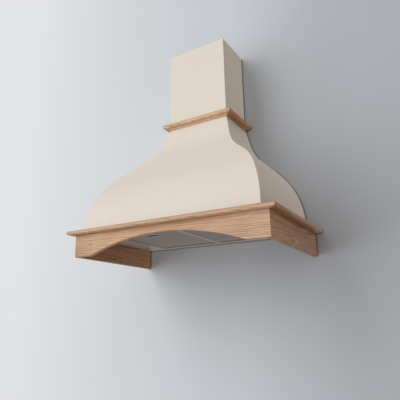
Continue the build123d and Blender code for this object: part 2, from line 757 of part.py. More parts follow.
# ---------------------------------------------------------------------------------------------
# Blower: a scroll of three quarter arcs, two inlet rings, a drum impeller and its motor
# ---------------------------------------------------------------------------------------------
def scroll_outline(inset, top, lip):
    """Scroll section with its outlet going straight up along the wall; lip lifts the open end."""
    step = scroll_step / 2
    low = level(scroll_z) - step
    high = level(scroll_z) + step
    first = scroll_radius - inset
    second = first + scroll_step
    third = second + scroll_step
    left = scroll_y - step
    right = scroll_y + step
    bend = cos(radians(45))
    with BuildSketch(Plane.YZ) as section:
        with BuildLine():
            ThreePointArc((left, low + first), (left - bend * first, low + bend * first), (left - first, low))
            ThreePointArc((left - first, low), (right - bend * second, low - bend * second),
                          (right, low - second))
            ThreePointArc((right, low - second), (right + bend * third, high - bend * third),
                          (right + third, high))
            Polyline((right + third, high), (right + third, level(top) + lip),
                     (left + inset, level(top) + lip), (left + inset, low + first))
            if inset:
                Line((left + inset, low + first), (left, low + first))
        make_face()
    return section.sketch


with BuildPart() as blower_housing:
    extrude(scroll_outline(0, roof_underside, 0), amount=scroll_width / 2, both=True)
    slab((-scroll_width / 2 - spigot_flange, scroll_width / 2 + spigot_flange),
         (tongue_y - spigot_flange, -scroll_back), (roof_underside - scroll_wall, roof_underside))
    extrude(scroll_outline(scroll_wall, roof_underside, sheet), amount=scroll_width / 2 - scroll_wall,
            both=True, mode=Mode.SUBTRACT)
    crossbar((-scroll_width, scroll_width), scroll_y, scroll_z, inlet_radius, Mode.SUBTRACT)
save(blower_housing, "blower_housing")

with BuildPart() as inlet_rings:
    outside = scroll_width / 2 + inlet_ring_wall
    crossbar((scroll_width / 2, outside), scroll_y, scroll_z, inlet_radius + inlet_ring_flange)
    crossbar((outside - inlet_ring_depth, outside), scroll_y, scroll_z, inlet_radius)
    crossbar((outside - inlet_ring_depth, outside), scroll_y, scroll_z,
             inlet_radius - inlet_ring_wall, Mode.SUBTRACT)
    mirror(about=Plane.YZ)
save(inlet_rings, "inlet_rings")

with BuildPart() as impeller:
    with BuildSketch(Plane.YZ.offset(-impeller_width / 2)):
        with Locations((scroll_y, level(scroll_z))):
            with PolarLocations(impeller_radius - blade_length / 2, blade_count):
                Rectangle(blade_length, blade_thickness, rotation=blade_pitch_angle)
    extrude(amount=impeller_width)
    for start in (-impeller_width / 2, impeller_width / 2 - impeller_ring_height):
        crossbar((start, start + impeller_ring_height), scroll_y, scroll_z, impeller_radius)
        crossbar((start, start + impeller_ring_height), scroll_y, scroll_z,
                 impeller_radius - blade_length, Mode.SUBTRACT)
    crossbar((-impeller_ring_height / 2, impeller_ring_height / 2), scroll_y, scroll_z, impeller_radius)
    crossbar((-hub_length / 2, hub_length / 2), scroll_y, scroll_z, hub_radius)
    crossbar((-hub_length / 2, hub_length / 2), scroll_y, scroll_z, shaft_radius, Mode.SUBTRACT)
save(impeller, "impeller")

shaft_start = hub_length / 2 - shaft_length
motor_start = -scroll_width / 2 - motor_inset
with BuildPart() as fan_shaft:
    crossbar((shaft_start, hub_length / 2), scroll_y, scroll_z, shaft_radius)
save(fan_shaft, "fan_shaft")
with BuildPart() as motor:
    crossbar((motor_start, motor_start + motor_length), scroll_y, scroll_z, motor_radius)
    fillet(motor.edges().filter_by(GeomType.CIRCLE), radius=bracket_thickness)
    crossbar((shaft_start - seat_gap, motor_start + motor_length), scroll_y, scroll_z,
             shaft_radius + shaft_clearance, Mode.SUBTRACT)
save(motor, "motor")

with BuildPart() as motor_bracket:
    arm_reach = inlet_radius + inlet_ring_flange + bracket_foot
    with BuildSketch(Plane.YZ.offset(motor_start - bracket_thickness)):
        with Locations((scroll_y, level(scroll_z))):
            Circle(bracket_disc_radius)
            with PolarLocations(arm_reach / 2, 3, start_angle=30):
                Rectangle(arm_reach, bracket_arm)
    extrude(amount=bracket_thickness)
    with BuildSketch(Plane.YZ.offset(motor_start)):
        with Locations((scroll_y, level(scroll_z))):
            with PolarLocations(arm_reach - bracket_foot / 2 + seat_gap / 2, 3, start_angle=30):
                Rectangle(bracket_foot - seat_gap, bracket_arm)
    extrude(amount=motor_inset)
save(motor_bracket, "motor_bracket")

# ---------------------------------------------------------------------------------------------
# Duct spigot on the plenum's roof, with a butterfly of two flaps that fall shut on a seat ring
# ---------------------------------------------------------------------------------------------
duct_y = (tongue_y - scroll_back) / 2
spigot_foot = plenum_top + transition_height
spigot_top = spigot_foot + spigot_length
flap_z = spigot_foot + flap_height
seat_top = flap_z - flap_thickness / 2 - seat_gap
outlet_depth = -scroll_back - tongue_y
pin_reach = spigot_radius - spigot_wall / 2


def duct_space(inset, mode=Mode.ADD):
    """Square foot that turns round into the spigot."""
    with BuildSketch(Plane((0, duct_y, level(plenum_top)))) as square_foot:
        Rectangle(scroll_width - 2 * inset, outlet_depth - 2 * inset)
    with BuildSketch(Plane((0, duct_y, level(spigot_foot)))) as round_end:
        Circle(spigot_radius - inset)
    loft([square_foot.sketch, round_end.sketch], mode=mode)
    upright(0, duct_y, (spigot_foot, spigot_top), spigot_radius - inset, mode)


with BuildPart() as outlet_spigot:
    duct_space(0)
    slab((-scroll_width / 2 - spigot_flange, scroll_width / 2 + spigot_flange),
         (tongue_y - spigot_flange, -scroll_back + spigot_flange), (plenum_top, plenum_top + sheet))
    duct_space(spigot_wall, Mode.SUBTRACT)
    upright(0, duct_y, (seat_top - seat_thickness, seat_top), spigot_radius - spigot_wall / 2)
    upright(0, duct_y, (seat_top - seat_thickness, seat_top), spigot_radius - spigot_wall - seat_width,
            Mode.SUBTRACT)
    crossbar((-pin_reach, pin_reach), duct_y, flap_z, flap_pin_radius + pivot_clearance, Mode.SUBTRACT)
save(outlet_spigot, "outlet_spigot")

with BuildPart() as flap_pin:
    crossbar((-pin_reach, pin_reach), duct_y, flap_z, flap_pin_radius)
save(flap_pin, "flap_pin")

knuckle_places = (-1.5 * knuckle_pitch, 0.5 * knuckle_pitch)
root_y = duct_y - knuckle_radius - seat_gap
with BuildPart() as front_flap:
    upright(0, duct_y, (flap_z - flap_thickness / 2, flap_z + flap_thickness / 2),
            spigot_radius - spigot_wall - flap_clearance)
    slab((-spigot_radius, spigot_radius), (root_y, duct_y + spigot_radius),
         (flap_z - flap_thickness, flap_z + flap_thickness), Mode.SUBTRACT)
    for x in knuckle_places:
        slab((x - knuckle_length / 2, x + knuckle_length / 2), (root_y, duct_y),
             (flap_z - flap_thickness / 2, flap_z + flap_thickness / 2))
        crossbar((x - knuckle_length / 2, x + knuckle_length / 2), duct_y, flap_z, knuckle_radius)
    crossbar((-spigot_radius, spigot_radius), duct_y, flap_z,
             flap_pin_radius + pivot_clearance, Mode.SUBTRACT)
save(front_flap, "front_flap")
with BuildPart() as rear_flap:
    add(front_flap.part.rotate(Axis((0, duct_y, 0), (0, 0, 1)), 180))
save(rear_flap, "rear_flap")

# ---------------------------------------------------------------------------------------------
# Lamps, push-button panel, wiring box and cable gland
# ---------------------------------------------------------------------------------------------
bezel_low = tray_bottom - lamp_bezel_height
with BuildPart() as lamp_housings:
    for x in lamp_places:
        upright(x, -front_strip, (bezel_low, tray_bottom), lamp_bezel_radius)
        upright(x, -front_strip, (tray_bottom, tray_bottom + lamp_can_height), lamp_can_radius)
        upright(x, -front_strip, (bezel_low, tray_bottom + lamp_recess), lens_radius, Mode.SUBTRACT)
save(lamp_housings, "lamp_housings")
with BuildPart() as lamp_lenses:
    for x in lamp_places:
        upright(x, -front_strip, (bezel_low + seat_gap, bezel_low + lens_thickness), lens_radius)
save(lamp_lenses, "lamp_lenses")

panel_low = tray_bottom - panel_height
with BuildPart() as control_panel:
    slab((-panel_length / 2, panel_length / 2),
         (-front_strip - panel_depth / 2, -front_strip + panel_depth / 2), (panel_low, tray_bottom))
    slab(switch_x, switch_y, (tray_bottom, tray_bottom + switch_height))
    for x in button_places:
        upright(x, -front_strip, (panel_low, panel_low + button_height + button_travel),
                button_radius + button_clearance, Mode.SUBTRACT)
save(control_panel, "control_panel")
for index, x in enumerate(button_places, start=1):
    button_low = panel_low - button_proud
    with BuildPart() as push_button:
        upright(x, -front_strip, (button_low, button_low + button_height), button_radius)
        fillet(push_button.edges().sort_by(Axis.Z)[0], radius=button_clearance * 2)
    save(push_button, f"push_button_{index}")

with BuildPart() as wiring_box:
    slab((switch_length / 2 + wiring_box_gap, lamp_places[1] - lamp_can_radius - wiring_box_lamp_gap),
         (-front_strip - wiring_box_depth / 2, -front_strip + wiring_box_depth / 2),
         (tray_top, tray_top + wiring_box_height))
save(wiring_box, "wiring_box")

with BuildPart() as cable_gland:
    upright(gland_offset, -gland_setback, (roof_underside - gland_nut_height, plenum_top + gland_height),
            gland_radius)
    upright(gland_offset, -gland_setback, (roof_underside - gland_nut_height, roof_underside), gland_nut)
    upright(gland_offset, -gland_setback, (plenum_top, plenum_top + gland_nut_height), gland_nut)
    upright(gland_offset, -gland_setback, (roof_underside - gland_nut_height, plenum_top + gland_height),
            cable_radius, Mode.SUBTRACT)
save(cable_gland, "cable_gland")
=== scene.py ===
import json
import math

import bmesh
import bpy
from mathutils import Matrix, Vector

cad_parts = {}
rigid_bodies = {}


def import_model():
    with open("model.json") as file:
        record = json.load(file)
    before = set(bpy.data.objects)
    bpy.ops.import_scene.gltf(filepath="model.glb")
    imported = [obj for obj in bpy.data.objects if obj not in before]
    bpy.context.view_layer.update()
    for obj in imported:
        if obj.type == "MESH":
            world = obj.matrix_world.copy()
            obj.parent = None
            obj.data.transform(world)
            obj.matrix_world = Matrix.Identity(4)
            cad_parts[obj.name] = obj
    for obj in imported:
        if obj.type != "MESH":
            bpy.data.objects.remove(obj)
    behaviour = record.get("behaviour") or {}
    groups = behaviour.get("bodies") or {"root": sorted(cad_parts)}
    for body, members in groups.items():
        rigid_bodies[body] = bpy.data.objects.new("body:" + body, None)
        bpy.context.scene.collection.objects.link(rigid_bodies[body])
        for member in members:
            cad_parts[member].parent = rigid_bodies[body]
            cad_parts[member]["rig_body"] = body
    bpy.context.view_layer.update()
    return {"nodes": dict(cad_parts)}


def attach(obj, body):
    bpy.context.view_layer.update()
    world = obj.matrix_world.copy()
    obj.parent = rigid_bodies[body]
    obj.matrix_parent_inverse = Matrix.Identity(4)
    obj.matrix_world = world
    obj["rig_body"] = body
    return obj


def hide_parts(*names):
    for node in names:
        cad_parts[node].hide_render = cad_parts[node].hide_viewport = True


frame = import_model()
nodes = frame["nodes"]

# ---------------------------------------------------------------------------------------------
# Arched apron and side panels: solid oak boards, planed, glued on mitres at the front corners and
# finished in clear satin lacquer. The grain runs along each board, and the arch is cut through it.
# ---------------------------------------------------------------------------------------------


def shader_node(tree, kind, inputs=(), **settings):
    """One shader node; each input takes a value or another node's output."""
    made = tree.nodes.new("ShaderNode" + kind)
    for key, value in settings.items():
        setattr(made, key, value)
    for key, value in dict(inputs).items():
        if isinstance(value, bpy.types.NodeSocket):
            tree.links.new(value, made.inputs[key])
        else:
            made.inputs[key].default_value = value
    return made


def figure(tree, operation, *values):
    """A Math node's result."""
    return shader_node(tree, "Math", enumerate(values), operation=operation).outputs[0]


def vector_figure(tree, operation, *values):
    """A Vector Math node's two results, the vector and the number."""
    return shader_node(tree, "VectorMath", enumerate(values), operation=operation).outputs


def object_place(tree):
    """Where a point lies on the part, in metres."""
    return shader_node(tree, "TexCoord").outputs["Object"]


def split(tree, vector):
    """The three numbers of a vector."""
    return shader_node(tree, "SeparateXYZ", {0: vector}).outputs


def joined(tree, *numbers):
    """A vector made of up to three numbers."""
    return shader_node(tree, "CombineXYZ", enumerate(numbers)).outputs[0]


def channels(tree, colour):
    """The three numbers of a colour."""
    return shader_node(tree, "SeparateColor", {0: colour}).outputs


def cloudy(tree, place, scale, detail, roughness=0.5, output="Fac"):
    """Noise with so many features per metre."""
    settings = {"Vector": place, "Scale": scale, "Detail": detail, "Roughness": roughness}
    return shader_node(tree, "TexNoise", settings).outputs[output]


def streaks(tree, place, along, across, detail=3.0, roughness=0.5, output="Fac"):
    """Noise drawn out along a board: features per metre along the grain and across it."""
    drawn = vector_figure(tree, "MULTIPLY", place, (along, across, across))["Vector"]
    return cloudy(tree, drawn, 1.0, detail, roughness, output)


def level_between(tree, factor, low, high, out_low=0.0, out_high=1.0):
    """A value carried from one range to another, held at its ends."""
    ends = {"Value": factor, "From Min": low, "From Max": high, "To Min": out_low, "To Max": out_high}
    return shader_node(tree, "MapRange", ends).outputs["Result"]


def shade_ramp(tree, factor, *stops):
    """Colour picked along a ramp of (place, colour) stops."""
    ramp = shader_node(tree, "ValToRGB", {"Fac": factor})
    ramp.color_ramp.interpolation = "LINEAR"
    ramp.color_ramp.elements[0].position = stops[0][0]
    ramp.color_ramp.elements[1].position = stops[-1][0]
    for place, _ in stops[1:-1]:
        ramp.color_ramp.elements.new(place)
    for element, (_, colour) in zip(ramp.color_ramp.elements, stops):
        element.color = (*colour, 1)
    return ramp.outputs["Color"]


def blended(tree, factor, first, second, mode="MIX"):
    """Two colours put together."""
    inputs = {0: factor, 6: first, 7: second}
    return shader_node(tree, "Mix", inputs, data_type="RGBA", blend_type=mode).outputs[2]


def mottled(tree, colour, pattern, *stops):
    """A colour multiplied by shades picked along a pattern."""
    return blended(tree, 1.0, colour, shade_ramp(tree, pattern, *stops), "MULTIPLY")


def grey(level):
    """A colour that is only lighter or darker."""
    return (level, level, level)


def edge_mask(tree, width):
    """1 where a surface comes within width of a corner and 0 on the flat, and the rounded normal there."""
    nearly_flat, well_rounded = 0.995, 0.80
    rounded = shader_node(tree, "Bevel", {"Radius": width}, samples=6).outputs[0]
    true_normal = shader_node(tree, "NewGeometry").outputs["Normal"]
    agree = vector_figure(tree, "DOT_PRODUCT", rounded, true_normal)["Value"]
    return level_between(tree, agree, nearly_flat, well_rounded), rounded


def painted_crevice_shade(tree, colour, reach, darkest):
    """A colour darkened near an inside corner or in a narrow joint, by how shut in it is: painted shade."""
    shut_in, in_the_open = 0.15, 0.80
    open_sky = shader_node(tree, "AmbientOcclusion", {"Distance": reach}, samples=8).outputs["AO"]
    return mottled(tree, colour, open_sky, (shut_in, darkest), (in_the_open, grey(1.0)))


def blank_finish(name):
    """A new material, its node tree and its shader."""
    material = bpy.data.materials.new(name)
    material.use_nodes = True
    tree = material.node_tree
    return material, tree, tree.nodes["Principled BSDF"]


def coat(tree, shader, colour, roughness):
    """Joins a colour and a roughness to a shader."""
    tree.links.new(colour, shader.inputs["Base Color"])
    tree.links.new(roughness, shader.inputs["Roughness"])


def emboss(tree, shader, height, strength, distance, normal=None):
    """Raises a surface by a pattern, on top of its rounded corners where it has them."""
    inputs = {"Height": height, "Strength": strength, "Distance": distance}
    if normal is not None:
        inputs["Normal"] = normal
    tree.links.new(shader_node(tree, "Bump", inputs).outputs[0], shader.inputs["Normal"])


def board_axes(tree, grain):
    """How far a point lies along the grain, across the face and into the board, in metres."""
    at = split(tree, object_place(tree))
    order = {"x": "XZY", "y": "YZX", "z": "ZXY"}[grain]
    return [at["XYZ".index(axis)] for axis in order]


def distance_from_pith(tree, along, across, depth, place, pith, lean):
    """How far a point is from the log's centre line, which wanders and trembles a little."""
    wander, tremble = 0.009, 0.0016
    waver = channels(tree, streaks(tree, place, along=1.6, across=6.0, detail=2.0, output="Color"))
    ripple = channels(tree, streaks(tree, place, along=9.0, across=45.0, output="Color"))
    reach = []
    for line, centre, tilt, channel in ((across, pith[0], lean[0], 0), (depth, pith[1], lean[1], 1)):
        offset = figure(tree, "MULTIPLY_ADD", along, tilt, -centre)
        bend = figure(tree, "MULTIPLY_ADD", waver[channel], wander, -wander / 2)
        shake = figure(tree, "MULTIPLY_ADD", ripple[channel], tremble, -tremble / 2)
        reach.append(figure(tree, "ADD", figure(tree, "ADD", line, offset), figure(tree, "ADD", bend, shake)))
    return vector_figure(tree, "LENGTH", joined(tree, *reach))["Value"]


def knot_swell(tree, along, across, knot_along, knot_across, size):
    """How far a point is from a knot, in its long round shape, and how much the rings swell there."""
    stretch = 2.4
    long_way = figure(tree, "DIVIDE", figure(tree, "SUBTRACT", along, knot_along), stretch)
    spot = joined(tree, long_way, figure(tree, "SUBTRACT", across, knot_across))
    distance = vector_figure(tree, "LENGTH", spot)["Value"]
    share = figure(tree, "POWER", figure(tree, "DIVIDE", distance, size), 2.0)
    return distance, figure(tree, "EXPONENT", figure(tree, "MULTIPLY", share, -1.0))


def year_rings(tree, along, radius, ring):
    """How far a point is through its year's growth, and a pattern by which the years differ."""
    few_rings, single_rings, drift, uneven_rings, other_noise = 60.0, 210.0, 1.3, 2.2, 4.7
    slow = figure(tree, "MULTIPLY", along, drift)
    coarse = joined(tree, figure(tree, "MULTIPLY", radius, few_rings), slow)
    unevenness = cloudy(tree, coarse, 1.0, detail=2.0)
    uneven_radius = figure(tree, "MULTIPLY_ADD", unevenness, ring * uneven_rings, radius)
    growth = figure(tree, "FRACT", figure(tree, "DIVIDE", uneven_radius, ring))
    fine = joined(tree, figure(tree, "MULTIPLY", radius, single_rings), slow, other_noise)
    return growth, cloudy(tree, fine, 1.0, detail=3.0, roughness=0.6)


def oak_shades(contrast, tint):
    """A board's early, middle and late wood, its pores, dark knot hearts, and a pale shade that serves
    light knot hearts and the painted highlight on its edges.
    """
    middle, deeper = (0.570, 0.382, 0.260), (0.11, 0.092, 0.075)
    early = [value - part * contrast for value, part in zip(middle, deeper)]
    late, pore = (0.640, 0.460, 0.325), (0.240, 0.135, 0.080)
    heartwood, pale_heart_and_highlight = (0.210, 0.115, 0.068), (0.680, 0.520, 0.380)
    return [tuple(value * part for value, part in zip(shade, tint))
            for shade in (early, middle, late, pore, heartwood, pale_heart_and_highlight)]


def oak_board(name, grain, pith, lean, ring, contrast, tint, knots=(), shift=0.0, tones_along=(),
              crevice_shade=(0.42, 0.33, 0.27)):
    """Lacquered light oak sawn from a log whose centre line passes pith, given across and into the board.
    Grain is the axis it runs along, lean tilts the log, and ring is a year's growth. Knots are (along,
    across, size, darkness), and the shades along the board are (along, colour) pairs. The last colour is
    painted shade in its joints and inside corners, and its edges get a painted highlight."""
    material, tree, shader = blank_finish(name)
    along, across, depth = board_axes(tree, grain)
    place = joined(tree, figure(tree, "ADD", along, shift), across, depth)

    rings_round_knot, heart_rim, heart_core = 3.2, 0.50, 0.15
    radius = distance_from_pith(tree, along, across, depth, place, pith, lean)
    hearts = []
    for knot_along, knot_across, size, darkness in knots:
        distance, swell = knot_swell(tree, along, across, knot_along, knot_across, size)
        radius = figure(tree, "MULTIPLY_ADD", swell, ring * rings_round_knot, radius)
        strength = level_between(tree, distance, size * heart_rim, size * heart_core, 0.0, abs(darkness))
        hearts.append((strength, darkness > 0))

    growth, years = year_rings(tree, along, radius, ring)
    early, middle, late, pore, heartwood, pale_heart_and_highlight = oak_shades(contrast, tint)
    colour = shade_ramp(tree, growth, (0.0, middle), (0.10, early), (0.30, middle), (0.70, late),
                        (1.0, middle))
    dark, light, faint = 1.0 - 0.10 * contrast, 1.0 + 0.07 * contrast, 1.0 - 0.15 * contrast
    colour = mottled(tree, colour, years, (0.34, (dark, dark * 0.975, dark * 0.95)), (0.66, grey(light)))
    if tones_along:
        near, far = tones_along[0][0], tones_along[-1][0]
        shades = [((spot - near) / (far - near), shade) for spot, shade in tones_along]
        colour = mottled(tree, colour, level_between(tree, along, near, far), *shades)
    patches = streaks(tree, place, along=3.0, across=16.0)
    colour = mottled(tree, colour, patches, (0.3, (0.93, 0.915, 0.90)), (0.7, grey(1.05)))
    flecks = streaks(tree, place, along=11.0, across=240.0, roughness=0.6)
    colour = mottled(tree, colour, flecks, (0.36, (faint, faint * 0.98, faint * 0.96)), (0.60, grey(1.04)))
    fibres = streaks(tree, place, along=16.0, across=820.0, detail=4.0, roughness=0.62)
    colour = mottled(tree, colour, fibres, (0.32, (0.86, 0.83, 0.80)), (0.62, grey(1.05)))

    pore_strength, edge_highlight_strength = 0.62, 0.35
    open_grain = level_between(tree, streaks(tree, place, along=95.0, across=2400.0, detail=2.0), 0.56, 0.68)
    in_early = level_between(tree, level_between(tree, growth, 0.45, 0.05), 0.0, 1.0, 0.25, 1.0)
    pores = figure(tree, "MULTIPLY", open_grain, in_early)
    colour = blended(tree, figure(tree, "MULTIPLY", pores, pore_strength), colour, (*pore, 1))
    for strength, dark_heart in hearts:
        colour = blended(tree, strength, colour, (*(heartwood if dark_heart else pale_heart_and_highlight), 1))
    # Lighter along every edge: a painted highlight.
    edge, rounded = edge_mask(tree, width=0.0016)
    colour = blended(tree, figure(tree, "MULTIPLY", edge, edge_highlight_strength), colour, (*pale_heart_and_highlight, 1))
    sheen = figure(tree, "MULTIPLY_ADD", pores, 0.22, level_between(tree, fibres, 0.3, 0.7, 0.52, 0.42))
    # Darker in joints and inside corners: painted shade.
    colour = painted_crevice_shade(tree, colour, reach=0.006, darkest=crevice_shade)
    coat(tree, shader, colour, figure(tree, "MULTIPLY_ADD", edge, -0.06, sheen))
    ridges = figure(tree, "MULTIPLY_ADD", fibres, 0.35, figure(tree, "MULTIPLY", growth, 0.15))
    relief = figure(tree, "MULTIPLY_ADD", pores, -0.7, ridges)
    emboss(tree, shader, relief, strength=0.35, distance=0.0005, normal=rounded)
    shader.inputs["Specular IOR Level"].default_value = 0.2
    return material


def dress(material, *names):
    """Gives CAD pieces their finish."""
    for name in names:
        for slot in nodes[name].material_slots:
            slot.material = material


def eased(name, width, material, segments=2):
    """A piece with its sharp edges taken off, in its own place, on its own body and in its own finish."""
    weld, flat_within, sharp_from, smooth_within = 0.000002, 0.3, 35, 50
    source = nodes[name]
    shape = bmesh.new()
    shape.from_mesh(source.data)
    bmesh.ops.remove_doubles(shape, verts=shape.verts, dist=weld)
    bmesh.ops.dissolve_limit(shape, angle_limit=math.radians(flat_within), verts=shape.verts,
                             edges=shape.edges)
    sharp = [edge for edge in shape.edges
             if edge.is_manifold and edge.calc_face_angle() > math.radians(sharp_from)]
    bmesh.ops.bevel(shape, geom=sharp, offset=width, offset_type="OFFSET", affect="EDGES", segments=segments,
                    profile=0.5, material=-1, clamp_overlap=True)
    mesh = bpy.data.meshes.new(name + "_eased")
    shape.to_mesh(mesh)
    shape.free()
    for face in mesh.polygons:
        face.use_smooth = True
    mesh.set_sharp_from_angle(angle=math.radians(smooth_within))
    mesh.materials.append(material)
    piece = bpy.data.objects.new(name + "_eased", mesh)
    bpy.context.scene.collection.objects.link(piece)
    piece.modifiers.new("even_shading", "WEIGHTED_NORMAL").keep_sharp = True
    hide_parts(name)
    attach(piece, source["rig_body"])
    return piece


board_edge = 0.0009
# A paler painted shade for the joints of the front pieces.
light_crevice_shade = (0.74, 0.64, 0.56)
apron_oak = oak_board("oak_apron", "x", pith=(-0.615, -0.455), lean=(0.045, 0.03), ring=0.0058, contrast=1.25,
                      tint=grey(1.0), knots=((-0.337, -0.516, 0.0085, 0.6),), crevice_shade=light_crevice_shade,
                      tones_along=((-0.42, (0.86, 0.81, 0.70)), (-0.33, (1.04, 0.99, 0.87)),
                            (0.05, (1.11, 1.01, 0.96)), (0.42, (1.12, 1.17, 1.23))))
# Darker and warmer than the apron, darker still toward the wall: painted shade for a side in shadow.
right_side_oak = oak_board("oak_right_side", "y", pith=(-0.4675, 0.346), lean=(0.05, 0.05), ring=0.0062,
                           contrast=2.1, tint=(0.87, 0.77, 0.665),
                           knots=((-0.262, -0.540, 0.025, -0.5), (-0.455, -0.547, 0.014, -0.2)),
                           tones_along=((-0.50, (1.19, 1.14, 1.05)), (-0.25, (0.82, 0.68, 0.52)),
                                 (0.0, (0.72, 0.52, 0.39))))
# Darker and warmer than the apron: painted shade, as its inner face is seen in shadow.
left_side_oak = oak_board("oak_left_side", "y", pith=(-0.4675, -0.346), lean=(0.05, -0.05), ring=0.0060,
                          contrast=2.0, tint=(0.84, 0.68, 0.56), knots=((-0.238, -0.535, 0.019, 0.35),))
eased("front_apron", board_edge, apron_oak)
eased("right_side_panel", board_edge, right_side_oak)
eased("left_side_panel", board_edge, left_side_oak)

# ---------------------------------------------------------------------------------------------
# Base moulding: three bull-nosed oak boards, run through a spindle cutter, mitred at the corners
# and glued down on top of the apron. The nose stands out all round.
# ---------------------------------------------------------------------------------------------
base_edge, base_ring = 0.0006, 0.0036
front_base_oak = oak_board("oak_base_front", "x", pith=(-0.36, -0.49), lean=(0.06, 0.05), ring=base_ring,
                           contrast=1.4, tint=(0.86, 0.87, 0.89), crevice_shade=light_crevice_shade)
# The right moulding is darker and warmer than the front one: painted shade for the side in shadow.
right_base_oak = oak_board("oak_base_right", "y", pith=(-0.37, 0.36), lean=(0.05, 0.05), ring=base_ring,
                           contrast=1.6, tint=(0.79, 0.66, 0.55), shift=0.7)
left_base_oak = oak_board("oak_base_left", "y", pith=(-0.37, -0.36), lean=(0.05, 0.05), ring=base_ring,
                          contrast=1.3, tint=(0.90, 0.84, 0.77), shift=1.9)
base_nose = eased("base_moulding_front", base_edge, front_base_oak)
eased("base_moulding_right", base_edge, right_base_oak)
eased("base_moulding_left", base_edge, left_base_oak)

# ---------------------------------------------------------------------------------------------
# Glue blocks, stiles and stops: sawn pine battens left bare, glued and pinned inside the cover.
# They stiffen the corners and the flue, and the stops keep the sliding extension from dropping.
# ---------------------------------------------------------------------------------------------


def bare_pine(name, grain):
    """Sawn softwood: pale yellow with narrow orange summer rings and a fuzzy saw-cut face."""
    ring = 0.0045
    spring_wood = (0.78, 0.60, 0.36)
    material, tree, shader = blank_finish(name)
    along, across, depth = board_axes(tree, grain)
    place = joined(tree, along, across, depth)
    waver = figure(tree, "MULTIPLY", streaks(tree, place, along=2.0, across=9.0, detail=2.0), 0.03)
    distance = figure(tree, "ADD", figure(tree, "MULTIPLY_ADD", depth, 0.6, across), waver)
    growth = figure(tree, "FRACT", figure(tree, "DIVIDE", distance, ring))
    colour = shade_ramp(tree, growth, (0.0, spring_wood), (0.6, (0.74, 0.53, 0.29)),
                        (0.86, (0.55, 0.32, 0.14)), (1.0, spring_wood))
    fuzz = streaks(tree, place, along=30.0, across=900.0, detail=4.0, roughness=0.65)
    colour = mottled(tree, colour, fuzz, (0.3, (0.86, 0.85, 0.84)), (0.7, grey(1.06)))
    coat(tree, shader, colour, level_between(tree, fuzz, 0.3, 0.7, 0.62, 0.78))
    emboss(tree, shader, fuzz, strength=0.5, distance=0.0005)
    return material


batten_edge = 0.0008
pine_upright = bare_pine("pine_upright", "z")
eased("corner_blocks", batten_edge, pine_upright)
eased("flue_stiles", batten_edge, pine_upright)
eased("extension_stops", batten_edge, bare_pine("pine_stops", "y"))

# ---------------------------------------------------------------------------------------------
# Rail, ribs, back frame and neck frame: cut from birch plywood, so faces show a pale rotary veneer
# and every cut edge shows the plies. Glued together, they hold the panels to their curve.
# ---------------------------------------------------------------------------------------------


def birch_plywood(name, sheet_axis, grain_axis):
    """Plywood whose sheet lies across sheet_axis: veneer on the faces, stacked plies on the edges."""
    pair_of_plies, rings_in_sheet = 0.0028, 14.0
    material, tree, shader = blank_finish(name)
    at = split(tree, object_place(tree))
    sheet = "XYZ".index(sheet_axis)
    grain = "XYZ".index(grain_axis)
    other = 3 - sheet - grain
    place = joined(tree, at[grain], at[other], at[sheet])
    waver = streaks(tree, place, along=3.0, across=11.0)
    cathedral = figure(tree, "FRACT", figure(tree, "MULTIPLY", waver, rings_in_sheet))
    veneer = shade_ramp(tree, cathedral, (0.0, (0.70, 0.53, 0.34)), (0.5, (0.76, 0.60, 0.41)),
                        (0.9, (0.66, 0.48, 0.29)), (1.0, (0.70, 0.53, 0.34)))
    ply = figure(tree, "FRACT", figure(tree, "DIVIDE", at[sheet], pair_of_plies))
    plies = shade_ramp(tree, ply, (0.0, (0.30, 0.18, 0.09)), (0.08, (0.72, 0.56, 0.37)),
                       (0.46, (0.70, 0.53, 0.34)), (0.52, (0.40, 0.25, 0.13)),
                       (0.60, (0.52, 0.35, 0.19)), (1.0, (0.50, 0.33, 0.18)))
    facing = split(tree, shader_node(tree, "TexCoord").outputs["Normal"])[sheet]
    on_face = level_between(tree, figure(tree, "ABSOLUTE", facing), 0.7, 0.9)
    colour = blended(tree, on_face, plies, veneer)
    fuzz = streaks(tree, place, along=22.0, across=700.0, detail=4.0, roughness=0.6)
    colour = mottled(tree, colour, fuzz, (0.3, (0.88, 0.87, 0.86)), (0.7, grey(1.05)))
    coat(tree, shader, colour, level_between(tree, fuzz, 0.3, 0.7, 0.58, 0.72))
    emboss(tree, shader, fuzz, strength=0.35, distance=0.0004)
    return material


ply_edge = 0.0006
ply_across_x = birch_plywood("ply_across_x", "X", "Z")
ply_across_y = birch_plywood("ply_across_y", "Y", "Z")
ply_across_z = birch_plywood("ply_across_z", "Z", "X")
for name, ply in (("front_ribs", ply_across_x), ("side_ribs", ply_across_y), ("back_frame", ply_across_y),
                  ("base_back_rail", ply_across_y), ("neck_frame", ply_across_z)):
    eased(name, ply_edge, ply)

# ---------------------------------------------------------------------------------------------
# Canopy: three thin panels bent over the ribs, butted along the corner curves, filled, sanded and
# sprayed in cream satin paint, with a painted highlight along each sharp corner and painted shade in its
# joints.
# ---------------------------------------------------------------------------------------------


